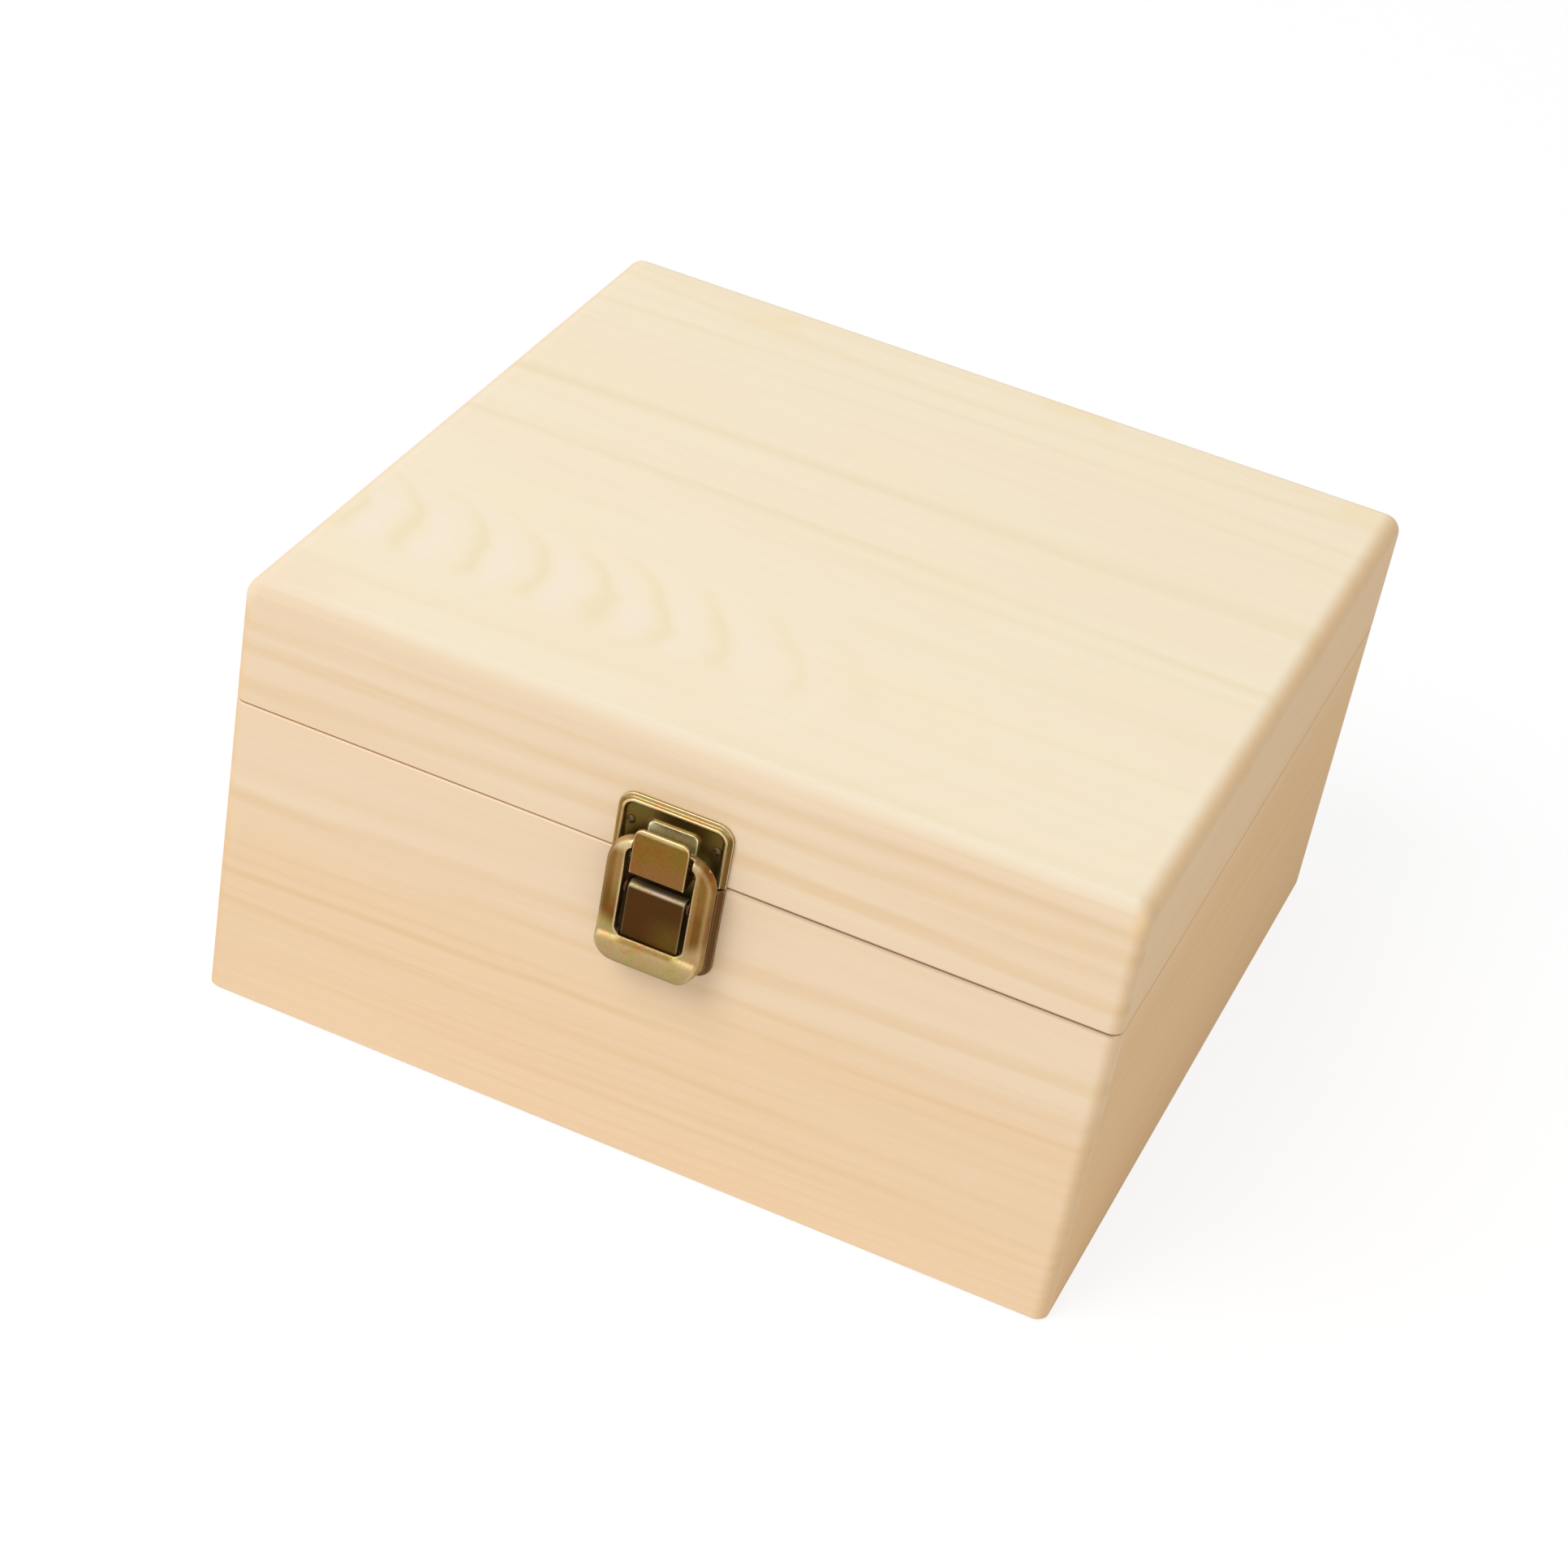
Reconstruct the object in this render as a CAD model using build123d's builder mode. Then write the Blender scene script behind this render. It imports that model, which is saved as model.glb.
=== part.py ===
from build123d import *

from math import hypot
import os

os.makedirs("parts", exist_ok=True)

# Wooden box with a hinged lid and a toggle latch. Millimetres, +Z up.
# The origin is the middle of the underside; +X runs right along the front, +Y runs to the back.

# Carcass, sizes of the finished box
box_width = 210.0
box_depth = 201.0
lower_height = 79.5
lid_height = 31.6
seam_gap = 0.4
wall = 8.0
top_thickness = 7.0
bottom_thickness = 3.0

# Carcass, joints and edges
corner_rabbet = 4.0
bottom_ledge = 4.0
vertical_round = 3.0
top_round = 5.0
seam_arris = 0.3
foot_arris = 0.6

# Latch plates: one pressed outline, parted at the seam
latch_offset = 2.0
plate_width = 27.0
catch_rise = 15.6
base_drop = 24.4
plate_gap = 0.7
plate_sheet = 0.8
plate_corner = 4.0
bead_inset = 0.8
bead_width = 1.3
bead_rise = 0.9
press_taper = 22.0

# Hook of the catch plate, and the pad pressed up behind it. The ring's top bar seats on the floor of the hook,
# and needs room to slide up behind the tongue when the lever lifts it off.
hook_width = 12.8
hook_sheet = 1.0
hook_foot = 0.0
hook_floor = 5.4
hook_tip = 11.7
hook_bend = 0.7
hook_corner = 2.0
hook_play = 0.5
lift_room = 1.6
pad_width = 12.0
pad_low = 4.5
pad_high = 11.0
pad_rise = 0.7
pad_corner = 1.5

# Lever of the latch and its two pivots, out from the wood and up from the seam
pivot_out = 3.8
lever_pivot = -5.4
ring_pivot = -20.0
lever_width = 13.5
lever_sheet = 1.2
knuckle_radius = 1.7
pin_radius = 0.8
pin_play = 0.05
ear_thickness = 0.8
ear_play = 0.3

# Ring of the latch, with its thumb bar below and a thin top bar that hooks behind the tongue
ring_top = 8.0
ring_bottom = -25.1
ring_back = 3.4
ring_thickness = 2.8
ring_limb = 4.6
ring_shoulder = 7.5
ring_corner = 5.5
ring_bevel = 1.0
top_bar_thickness = 1.4
window_play = 0.25
window_bottom = -17.4
window_shoulder = 2.0
window_corner = 2.0
bar_wall = 1.9
bar_crest = -21.3
bar_toe = 5.3
heel_bevel = 1.2
boss_length = 2.5
boss_floor = 0.4
ring_play = 0.3
ring_draft = 10.0

# Nails, drawn with a few flat sides because there are twelve of them
nail_sides = 8
nail_radius = 0.65
nail_length = 6.4
nail_head_radius = 1.1
nail_head_rise = 0.6
nail_head_taper = 40.0
latch_nail_inset = 3.35
catch_nail_drop = 6.8
base_nail_lift = 11.2

# Hinges
hinge_spacing = 120.0
hinge_width = 26.0
leaf_reach = 11.0
leaf_sheet = 0.8
leaf_corner = 1.5
barrel_radius = 1.9
barrel_stand = 0.1
barrel_middle = 9.0
barrel_play = 0.2
hinge_pin_radius = 1.0
hinge_nail_inset = 5.0
hinge_nail_margin = 3.8

# Places worked out from the sizes
front_face = -box_depth / 2
back_face = box_depth / 2
seam_height = lower_height + seam_gap / 2
lid_floor = lower_height + seam_gap
rail_height = lid_height - top_thickness
lip = wall - corner_rabbet
plate_height = catch_rise + base_drop
ear_inside = lever_width / 2 + ear_play
ear_outside = ear_inside + ear_thickness
lever_front = pivot_out + knuckle_radius
ring_front = ring_back + ring_thickness
top_bar_front = ring_back + top_bar_thickness
hook_front = top_bar_front + lift_room + hook_sheet
bar_front = lever_front + ring_play + bar_wall
window_top = hook_floor + ring_play
window_width = 2 * (ear_outside + window_play)
ring_width = window_width + 2 * ring_limb
ring_height = ring_top - ring_bottom
ring_middle = (ring_top + ring_bottom) / 2
ring_pin_half = ear_inside + boss_length - boss_floor
barrel_out = barrel_stand + barrel_radius
leaf_start = barrel_radius + barrel_play
hinge_places = [-hinge_spacing / 2, hinge_spacing / 2]
hinge_names = ["left", "right"]

# On the front: x to the right, y up from the seam, z out of the wood
latch_face = Plane(origin=(latch_offset, front_face, seam_height), x_dir=(1, 0, 0), z_dir=(0, -1, 0))
# Across the latch: x out of the wood, y up from the seam
latch_section = Plane(origin=latch_face.origin, x_dir=(0, -1, 0), z_dir=(-1, 0, 0))


def hinge_face(x):
    """The back of the box at one hinge: y up from the seam, z out of the wood."""
    return Plane(origin=(x, back_face, seam_height), x_dir=(-1, 0, 0), z_dir=(0, 1, 0))


def hinge_section(x):
    """Across one hinge: x out of the wood, y up from the seam, z along the barrel."""
    return Plane(origin=(x, back_face, seam_height), x_dir=(0, 1, 0), z_dir=(1, 0, 0))


def nail_points(spread, height):
    """Two nails side by side."""
    return [(-spread / 2, height), (spread / 2, height)]


latch_nail_spread = plate_width - 2 * latch_nail_inset
hinge_nail_spread = hinge_width - 2 * hinge_nail_inset
hinge_nail_reach = leaf_reach - hinge_nail_margin
catch_nail_points = nail_points(latch_nail_spread, catch_rise - catch_nail_drop)
base_nail_points = nail_points(latch_nail_spread, base_nail_lift - base_drop)
lid_leaf_nail_points = nail_points(hinge_nail_spread, hinge_nail_reach)
box_leaf_nail_points = nail_points(hinge_nail_spread, -hinge_nail_reach)


def save(part, label):
    """Names a finished piece and writes its file."""
    part.label = label
    export_step(part, f"parts/{label}.step")


def is_outside(edge):
    """Whether an edge lies on the outside of the box, seen in plan."""
    middle = edge @ 0.5
    inset = min(box_width / 2 - abs(middle.X), box_depth / 2 - abs(middle.Y))
    return inset < vertical_round / 2


def is_ring_rim(edge):
    """Whether an edge lies round the front of the latch's ring."""
    spot = latch_face.to_local_coords(edge @ 0.5)
    corner = ring_shoulder if spot.Y > ring_middle else ring_corner
    across = max(abs(spot.X) - (ring_width / 2 - corner), 0)
    along = max(abs(spot.Y - ring_middle) - (ring_height / 2 - corner), 0)
    inset = corner - hypot(across, along)
    return inset < ring_bevel and spot.Z > ring_front - ring_bevel / 2


def is_hook_bend(edge):
    """Whether an edge lies in the hook's inner corner, or along its lower front."""
    spot = latch_face.to_local_coords(edge @ 0.5)
    inner = abs(spot.Z - (hook_front - hook_sheet)) < hook_bend and abs(spot.Y - hook_floor) < hook_bend
    outer = abs(spot.Z - hook_front) < hook_bend and abs(spot.Y - hook_foot) < hook_bend
    return inner or outer


def drill_nails(face, points, sheet):
    """Cuts the holes of nails whose heads lie on a sheet into the piece being built."""
    with BuildSketch(face.offset(sheet)) as holes:
        with Locations(*points):
            RegularPolygon(nail_radius, nail_sides)
    extrude(holes.sketch, amount=-nail_length, mode=Mode.SUBTRACT)


def cut_bottom_ledge():
    """Cuts the ledge for the bottom panel out of the board being built."""
    with BuildSketch() as panel:
        Rectangle(box_width - 2 * (wall - bottom_ledge), box_depth - 2 * (wall - bottom_ledge))
    extrude(panel.sketch, amount=bottom_thickness, mode=Mode.SUBTRACT)


def long_outline(side):
    """Plan of a front (side -1) or back (side 1) board: full width, a rabbet at each end for a side board."""
    with BuildSketch() as plan:
        with Locations((0, side * (box_depth - wall) / 2)):
            Rectangle(box_width, wall)
        fillet(plan.vertices().group_by(Axis.Y)[0 if side < 0 else -1], vertical_round)
        rabbet_middle = side * (box_depth / 2 - lip - corner_rabbet / 2)
        with Locations(*[(end * (box_width - wall) / 2, rabbet_middle) for end in (-1, 1)]):
            Rectangle(wall, corner_rabbet, mode=Mode.SUBTRACT)
    return plan.sketch


def side_outline(side):
    """Plan of a left (side -1) or right (side 1) board, which ends inside the rabbets."""
    with BuildSketch() as plan:
        with Locations((side * (box_width - wall) / 2, 0)):
            Rectangle(wall, box_depth - 2 * lip)
    return plan.sketch


def lower_board(outline, face=None, points=(), sheet=0.0):
    """A board of the lower half, from the ground to the seam."""
    with BuildPart() as board:
        extrude(outline, amount=lower_height)
        chamfer(board.edges().group_by(Axis.Z)[-1].filter_by(is_outside), seam_arris)
        chamfer(board.edges().group_by(Axis.Z)[0].filter_by(is_outside), foot_arris)
        cut_bottom_ledge()
        for place in face or ():
            drill_nails(place, points, sheet)
    return board.part


def lid_rail(outline, face=None, points=(), sheet=0.0):
    """A rail of the lid, from the seam to the underside of the top."""
    with BuildPart() as rail:
        extrude(outline.moved(Location((0, 0, lid_floor))), amount=rail_height)
        chamfer(rail.edges().group_by(Axis.Z)[0].filter_by(is_outside), seam_arris)
        for place in face or ():
            drill_nails(place, points, sheet)
    return rail.part


# Lower half of the carcass
hinge_faces = [hinge_face(x) for x in hinge_places]
save(lower_board(long_outline(-1), [latch_face], base_nail_points, plate_sheet), "front_board")
save(lower_board(long_outline(1), hinge_faces, box_leaf_nail_points, leaf_sheet), "back_board")
save(lower_board(side_outline(-1)), "left_board")
save(lower_board(side_outline(1)), "right_board")

with BuildPart() as bottom_panel:
    with BuildSketch():
        Rectangle(box_width - 2 * (wall - bottom_ledge), box_depth - 2 * (wall - bottom_ledge))
    extrude(amount=bottom_thickness)
save(bottom_panel.part, "bottom_panel")

# Lid
save(lid_rail(long_outline(-1), [latch_face], catch_nail_points, plate_sheet), "lid_front_rail")
save(lid_rail(long_outline(1), hinge_faces, lid_leaf_nail_points, leaf_sheet), "lid_back_rail")
save(lid_rail(side_outline(-1)), "lid_left_rail")
save(lid_rail(side_outline(1)), "lid_right_rail")

with BuildPart() as lid_top:
    with BuildSketch(Plane.XY.offset(lid_floor + rail_height)):
        RectangleRounded(box_width, box_depth, vertical_round)
    extrude(amount=top_thickness)
    fillet(lid_top.edges().group_by(Axis.Z)[-1], top_round)
save(lid_top.part, "lid_top")


def pressed_plate(low, high):
    """The part of the latch's pressed outline between two heights: a sheet with a bead along its rim."""
    with BuildPart() as plate:
        with BuildSketch(latch_face):
            with Locations((0, catch_rise - plate_height / 2)):
                RectangleRounded(plate_width, plate_height, plate_corner)
        extrude(amount=plate_sheet)
        with BuildSketch(latch_face.offset(plate_sheet)):
            with Locations((0, catch_rise - plate_height / 2)):
                outside = bead_inset
                RectangleRounded(plate_width - 2 * outside, plate_height - 2 * outside, plate_corner - outside)
                inside = bead_inset + bead_width
                RectangleRounded(plate_width - 2 * inside, plate_height - 2 * inside, plate_corner - inside,
                                 mode=Mode.SUBTRACT)
        extrude(amount=bead_rise, taper=press_taper)
        with BuildSketch(latch_face):
            with Locations((0, (low + high) / 2)):
                Rectangle(plate_width, high - low)
        extrude(amount=plate_sheet + bead_rise, mode=Mode.INTERSECT)
    return plate.part


# Catch plate: the hook stands out from the plate's lower edge, and its tongue points up
catch_sheet = pressed_plate(plate_gap / 2, catch_rise)
with BuildPart() as catch_plate:
    with BuildSketch(latch_section):
        with BuildLine():
            Polyline((0, plate_gap / 2), (hook_front, hook_foot), (hook_front, hook_tip),
                     (hook_front - hook_sheet, hook_tip), (hook_front - hook_sheet, hook_floor), (0, hook_floor),
                     close=True)
        make_face()
    extrude(amount=hook_width / 2, both=True)
    fillet(catch_plate.edges().filter_by(Axis.X).filter_by(is_hook_bend), hook_bend)
    fillet(catch_plate.edges().filter_by(Axis.Y).group_by(Axis.Z)[-1], hook_corner)
    add(catch_sheet)
    with BuildSketch(latch_face.offset(plate_sheet)):
        with Locations((0, (pad_low + pad_high) / 2)):
            RectangleRounded(pad_width, pad_high - pad_low, pad_corner)
    extrude(amount=pad_rise, taper=press_taper)
    drill_nails(latch_face, catch_nail_points, plate_sheet)
save(catch_plate.part, "catch_plate")

# Base plate: two ears stand up from the sheet and hold the lever's pin
base_sheet = pressed_plate(-base_drop, -plate_gap / 2)
with BuildPart() as latch_base_plate:
    add(base_sheet)
    for side in (-1, 1):
        with BuildSketch(latch_section.offset(side * (ear_inside + ear_thickness / 2))):
            with Locations((pivot_out, lever_pivot)):
                Circle(knuckle_radius)
            with Locations((pivot_out / 2, lever_pivot)):
                Rectangle(pivot_out, 2 * knuckle_radius)
            with Locations((pivot_out, lever_pivot)):
                Circle(pin_radius, mode=Mode.SUBTRACT)
        extrude(amount=ear_thickness / 2, both=True)
    drill_nails(latch_face, base_nail_points, plate_sheet)
save(latch_base_plate.part, "latch_base_plate")

# Lever: a strip rolled into a knuckle at each end
with BuildPart() as latch_link:
    with BuildSketch(latch_section):
        with Locations((pivot_out, lever_pivot), (pivot_out, ring_pivot)):
            Circle(knuckle_radius)
        with Locations((lever_front - lever_sheet / 2, (lever_pivot + ring_pivot) / 2)):
            Rectangle(lever_sheet, lever_pivot - ring_pivot)
        with Locations((pivot_out, lever_pivot), (pivot_out, ring_pivot)):
            Circle(pin_radius + pin_play, mode=Mode.SUBTRACT)
    extrude(amount=lever_width / 2, both=True)
save(latch_link.part, "latch_link")

# Ring: a cast ring with drafted sides that swells into a thumb bar, a boss on each side for its pin
with BuildPart() as latch_ring:
    with BuildSketch(latch_section):
        with BuildLine():
            Polyline((bar_toe, ring_bottom), (ring_back + heel_bevel, ring_bottom),
                     (ring_back, ring_bottom + heel_bevel), (ring_back, ring_top), (ring_front, ring_top),
                     (ring_front, window_bottom))
            ThreePointArc((ring_front, window_bottom), (bar_front, bar_crest), (bar_toe, ring_bottom))
        make_face()
    extrude(amount=ring_width / 2, both=True)
    with BuildSketch(latch_face.offset(ring_back)) as ring_outline:
        with Locations((0, ring_middle)):
            Rectangle(ring_width, ring_height)
        fillet(ring_outline.vertices().group_by(Axis.Y)[-1], ring_shoulder)
        fillet(ring_outline.vertices().group_by(Axis.Y)[0], ring_corner)
    extrude(amount=bar_front - ring_back, taper=ring_draft, mode=Mode.INTERSECT)
    fillet(latch_ring.edges().filter_by(is_ring_rim), ring_bevel)
    with BuildSketch(latch_face) as window:
        with Locations((0, (window_top + window_bottom) / 2)):
            Rectangle(window_width, window_top - window_bottom)
        fillet(window.vertices().group_by(Axis.Y)[-1], window_shoulder)
        fillet(window.vertices().group_by(Axis.Y)[0], window_corner)
    extrude(amount=bar_front, mode=Mode.SUBTRACT)
    with BuildSketch(latch_face.offset(top_bar_front)):
        with Locations((0, (window_top + ring_top) / 2)):
            Rectangle(hook_width + 2 * hook_play, ring_top - window_top + 2 * window_shoulder)
    extrude(amount=ring_thickness, mode=Mode.SUBTRACT)
    # Behind the bar, room for the lever's lower knuckle and for the lever when the ring hangs
    with BuildSketch(latch_section):
        with BuildLine():
            Polyline((ring_back, ring_bottom), (pivot_out, ring_bottom), (pivot_out, ring_pivot),
                     (lever_front + ring_play, ring_pivot),
                     (lever_front + ring_play, window_bottom + window_corner),
                     (ring_back, window_bottom + window_corner), close=True)
        make_face()
        with Locations((pivot_out, ring_pivot)):
            Circle(knuckle_radius + ring_play)
    extrude(amount=ear_inside, both=True, mode=Mode.SUBTRACT)
    for side in (-1, 1):
        with BuildSketch(latch_section.offset(side * (ear_inside + boss_length / 2))):
            with Locations((pivot_out, ring_pivot)):
                Circle(knuckle_radius)
        extrude(amount=boss_length / 2, both=True)
    with BuildSketch(latch_section):
        with Locations((pivot_out, ring_pivot)):
            Circle(pin_radius)
    extrude(amount=ring_pin_half, both=True, mode=Mode.SUBTRACT)
save(latch_ring.part, "latch_ring")

# Pins of the latch
with BuildPart() as link_pin:
    with BuildSketch(latch_section):
        with Locations((pivot_out, lever_pivot)):
            Circle(pin_radius)
    extrude(amount=ear_outside, both=True)
save(link_pin.part, "link_pin")

with BuildPart() as ring_pin:
    with BuildSketch(latch_section):
        with Locations((pivot_out, ring_pivot)):
            Circle(pin_radius)
    extrude(amount=ring_pin_half, both=True)
save(ring_pin.part, "ring_pin")


def nails(faces, points, sheet):
    """Nails with their heads on a sheet and their shanks in the wood: separate solids of one piece."""
    with BuildPart() as group:
        for face in faces:
            with BuildSketch(face.offset(sheet)):
                with Locations(*points):
                    RegularPolygon(nail_radius, nail_sides)
            extrude(amount=-nail_length)
            with BuildSketch(face.offset(sheet)):
                with Locations(*points):
                    RegularPolygon(nail_head_radius, nail_sides)
            extrude(amount=nail_head_rise, taper=nail_head_taper)
    return group.part


save(nails([latch_face], catch_nail_points, plate_sheet), "catch_nails")
save(nails([latch_face], base_nail_points, plate_sheet), "base_nails")
save(nails(hinge_faces, lid_leaf_nail_points, leaf_sheet), "hinge_lid_nails")
save(nails(hinge_faces, box_leaf_nail_points, leaf_sheet), "hinge_box_nails")


def hinge_leaf(x, rise, knuckles, bore, points):
    """A leaf that stands up (rise 1) or hangs down (rise -1) from the barrel, with its own knuckles."""
    with BuildPart() as leaf:
        with BuildSketch(hinge_face(x)) as flat:
            with Locations((0, rise * (leaf_start + leaf_reach) / 2)):
                Rectangle(hinge_width, leaf_reach - leaf_start)
            fillet(flat.vertices().group_by(Axis.Y)[-1 if rise > 0 else 0], leaf_corner)
        extrude(amount=leaf_sheet)
        for low, high in knuckles:
            with BuildSketch(hinge_section(x).offset((low + high) / 2)):
                with Locations((barrel_out, 0)):
                    Circle(barrel_radius)
                with Locations((leaf_sheet / 2, rise * leaf_start / 2)):
                    Rectangle(leaf_sheet, leaf_start)
                with Locations((barrel_out, 0)):
                    Circle(bore, mode=Mode.SUBTRACT)
            extrude(amount=(high - low) / 2, both=True)
        drill_nails(hinge_face(x), points, leaf_sheet)
    return leaf.part


# Hinges: the box leaf has the two outer knuckles and holds the pin, the lid leaf turns between them
middle_end = barrel_middle / 2
outer_start = middle_end + barrel_play
outer_knuckles = [(-hinge_width / 2, -outer_start), (outer_start, hinge_width / 2)]
middle_knuckle = [(-middle_end, middle_end)]
for name, x in zip(hinge_names, hinge_places):
    box_leaf = hinge_leaf(x, -1, outer_knuckles, hinge_pin_radius, box_leaf_nail_points)
    save(box_leaf, f"hinge_{name}_box_leaf")
    lid_leaf = hinge_leaf(x, 1, middle_knuckle, hinge_pin_radius + pin_play, lid_leaf_nail_points)
    save(lid_leaf, f"hinge_{name}_lid_leaf")
    with BuildPart() as hinge_pin:
        with BuildSketch(hinge_section(x)):
            with Locations((barrel_out, 0)):
                Circle(hinge_pin_radius)
        extrude(amount=hinge_width / 2, both=True)
    save(hinge_pin.part, f"hinge_{name}_pin")
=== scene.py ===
from math import cos, pi, radians, sin

import bmesh
import bpy
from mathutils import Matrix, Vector


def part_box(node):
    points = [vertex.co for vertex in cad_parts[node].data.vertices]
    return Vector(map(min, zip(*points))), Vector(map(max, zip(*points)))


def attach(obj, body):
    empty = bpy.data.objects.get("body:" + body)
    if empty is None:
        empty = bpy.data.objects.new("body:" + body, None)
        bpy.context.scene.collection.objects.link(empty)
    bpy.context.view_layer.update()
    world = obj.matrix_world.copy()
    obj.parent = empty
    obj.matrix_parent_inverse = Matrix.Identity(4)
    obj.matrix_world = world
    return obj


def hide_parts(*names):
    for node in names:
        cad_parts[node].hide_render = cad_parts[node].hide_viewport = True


# Wooden box with a hinged lid and a toggle latch. Metres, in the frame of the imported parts:
# the origin is the middle of the underside, +X runs right along the front, +Y runs to the back, +Z up.

MM = 0.001
MM_PER_METRE = 1000.0

# Camera of the photograph
CAMERA_PLACE = (0.21055, -0.70831, 0.53301)
CAMERA_TURN = (55.9009, -9.0937, 23.2118)
CAMERA_LENS = 84.67
CAMERA_SENSOR = 36.0

# Light: a pale sky, a floor that takes a soft shadow, and one large lamp from the left. Powers in watts.
SKY_LIGHT = 0.55
FLOOR_SIZE = 6.0
FLOOR_BOUNCE = 0.85
FLOOR_SHADOW = 0.20
FLOOR_GLOW = 0.83
KEY_PLACE = (-1.35, -2.25, 3.35)
KEY_SIZE = 2.7
KEY_POWER = 90.0
KEY_AIM = (0.0, 0.0, 0.05)

# Colours of the object, and of painted light and shade on it, as red, green and blue from 0 to 255
# Pine of the top, painted paler to stand for the strong light falling on the top
TOP_PINE_PAINTED_LIT = (253, 238, 209)
FRONT_PINE = (246, 221, 188)
# Pine of the right side, painted more orange to stand for the warm shade on that side
SIDE_PINE_PAINTED_SHADE = (243, 208, 160)
PANEL_PINE = (226, 196, 152)
# Painted shade in the seam between lid and box
SEAM_PAINTED_SHADE = (170, 132, 104)
LATCH_BRASS = (158, 120, 62)
HOOK_BRASS = (138, 101, 42)
HOOK_RED = (146, 98, 60)
RIM_BROWN = (116, 84, 48)
FLANGE_OLIVE = (178, 158, 118)
# Painted light on the lit bevels and shoulder of the ring's limbs
LIMB_PAINTED_LIGHT = (196, 164, 104)
# Brass of the base plate, painted dark brown for the shade under the ring and lever
BASE_BRASS_SHADED = (108, 68, 10)
RING_BRASS = (142, 103, 52)
# Painted shade and dark reflection on the lower limbs of the ring
LIMB_PAINTED_SHADE = (120, 80, 34)
# Painted light on the ring's bottom bar, which faces up to the lamp
BAR_PAINTED_LIGHT = (184, 158, 112)
# Painted shade on the recessed top edge and the lower part of the ring's bottom bar
BAR_PAINTED_SHADE = (112, 84, 46)
# Dark patina in specks and hollows, and painted shade in zones
BRASS_PATINA_AND_SHADE = (78, 44, 20)
# Rubbed brass on worn edges, and painted highlight in zones
BRASS_WEAR_AND_HIGHLIGHT = (240, 220, 172)
# Olive patina of recesses, and painted shade on the pad's lit top edge
RECESS_OLIVE_AND_SHADE = (110, 90, 46)
# Greenish pad under the hook, painted near white as light against the hook's shadow
PAD_PAINTED_LIGHT = (255, 255, 214)
# Brass of the lever strip, painted dark brown for the shade on its downward-turned face
LINK_BROWN_SHADED = (80, 47, 4)
# Painted highlight on the rolled top of the lever strip
LINK_PAINTED_HIGHLIGHT = (166, 145, 124)
LINK_OLIVE = (122, 90, 30)
HINGE_BRASS = (150, 118, 66)
PIN_BROWN = (70, 46, 24)
NAIL_BROWN = (78, 56, 32)

# How a patch of the patina changes the colour under it
OLIVE_PATCH = (0.86, 1.02, 0.70)
RED_PATCH = (1.07, 0.85, 0.72)

# Noises in the brass: turns per metre, and the values between which each comes in
OLIVE_TURNS = 210.0
OLIVE_RANGE = (0.44, 0.64)
RED_TURNS = 330.0
RED_RANGE = (0.48, 0.68)
GRIT_TURNS = 2100.0
GRIT_RANGE = (0.50, 0.78)

# How strongly the grit shows: in colour, in roughness, and as bump with its strength and depth
GRIT_SHADE = 0.30
GRIT_ROUGH = 0.25
GRIT_BUMP = (0.25, 0.00008)

# Pointiness of the mesh from which a hollow turns dark, and where it is darkest
HOLLOW_RANGE = (0.492, 0.440)

# How fast the lines of a curved zone bend up, per millimetre
CURVE_BEND = 0.026

# Casting: the size of the mesh, how often it is smoothed, and how near corners are welded
RING_GRAIN = 0.25 * MM
RING_ROUNDS = 5
PLATE_GRAIN = 0.22 * MM
HINGE_GRAIN = 0.25 * MM
PLATE_ROUNDS = 3
WELD = 0.002 * MM

# Lower corners of the ring: they are drawn in between these heights and distances from its middle
CORNER_START = -18 * MM
CORNER_END = -25 * MM
CORNER_INNER = 6 * MM
CORNER_OUTER = 12.7 * MM
CORNER_GAIN = 1.5 * MM

# Domed nails
NAIL_SIDES = 20
NAIL_RISE = 0.0006
NAIL_HEAD = 0.00108
NAIL_UNDER = 0.97
NAIL_SHANK = 0.00058
NAIL_POINT = 0.0014
NAIL_TIP = 0.15
DOME_START = 6
DOME_STEPS = 7

# Turns per metre of each figure in the wood, along the grain and across it
DRIFT_TURNS = (7.0, 16.0)
PATCH_TURNS = (8.0, 26.0)
CLOUD_TURNS = (12.0, 34.0)
STREAK_TURNS = (9.0, 240.0)
FIBRE_TURNS = (26.0, 1500.0)
FLAME_TURNS = (42.0, 50.0)
SPOT_TURNS = (46.0, 60.0)

# Grey ramps of the figures, as places and greys
RING_STOPS = ((0.0, 0.30), (0.10, 0.02), (0.55, 0.10), (0.88, 1.0), (1.0, 0.30))
YEAR_STOPS = ((0.30, 0.15), (0.62, 1.0))
PATCH_STOPS = ((0.30, 0.30), (0.65, 1.0))
STREAK_STOPS = ((0.42, 0.0), (0.75, 1.0))
FIBRE_STOPS = ((0.40, 0.0), (0.80, 1.0))
FLAME_STOPS = ((0.0, 0.85), (0.10, 0.10), (0.16, 0.0), (0.68, 0.0), (0.94, 1.0))
FLAME_PALE_STOPS = ((0.10, 0.0), (0.24, 1.0), (0.50, 0.8), (0.74, 0.0))

# Where patches and clouds come in, and how strongly each figure shows
PINK_RANGE = (0.36, 0.70)
PINK_SHARE = 0.75
CLOUD_RANGE = (0.50, 0.78)
CLOUD_SHARE = 0.55
STREAK_SHARE = 0.14
FIBRE_SHARE = 0.12
RING_SHIFT = 1.6

# Surface of the wood: its roughness, and the strength and depth of its relief
PINE_ROUGH = 0.62
TOP_ROUGH = 0.60
PINE_BUMP = (0.35, 0.00012)

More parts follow.
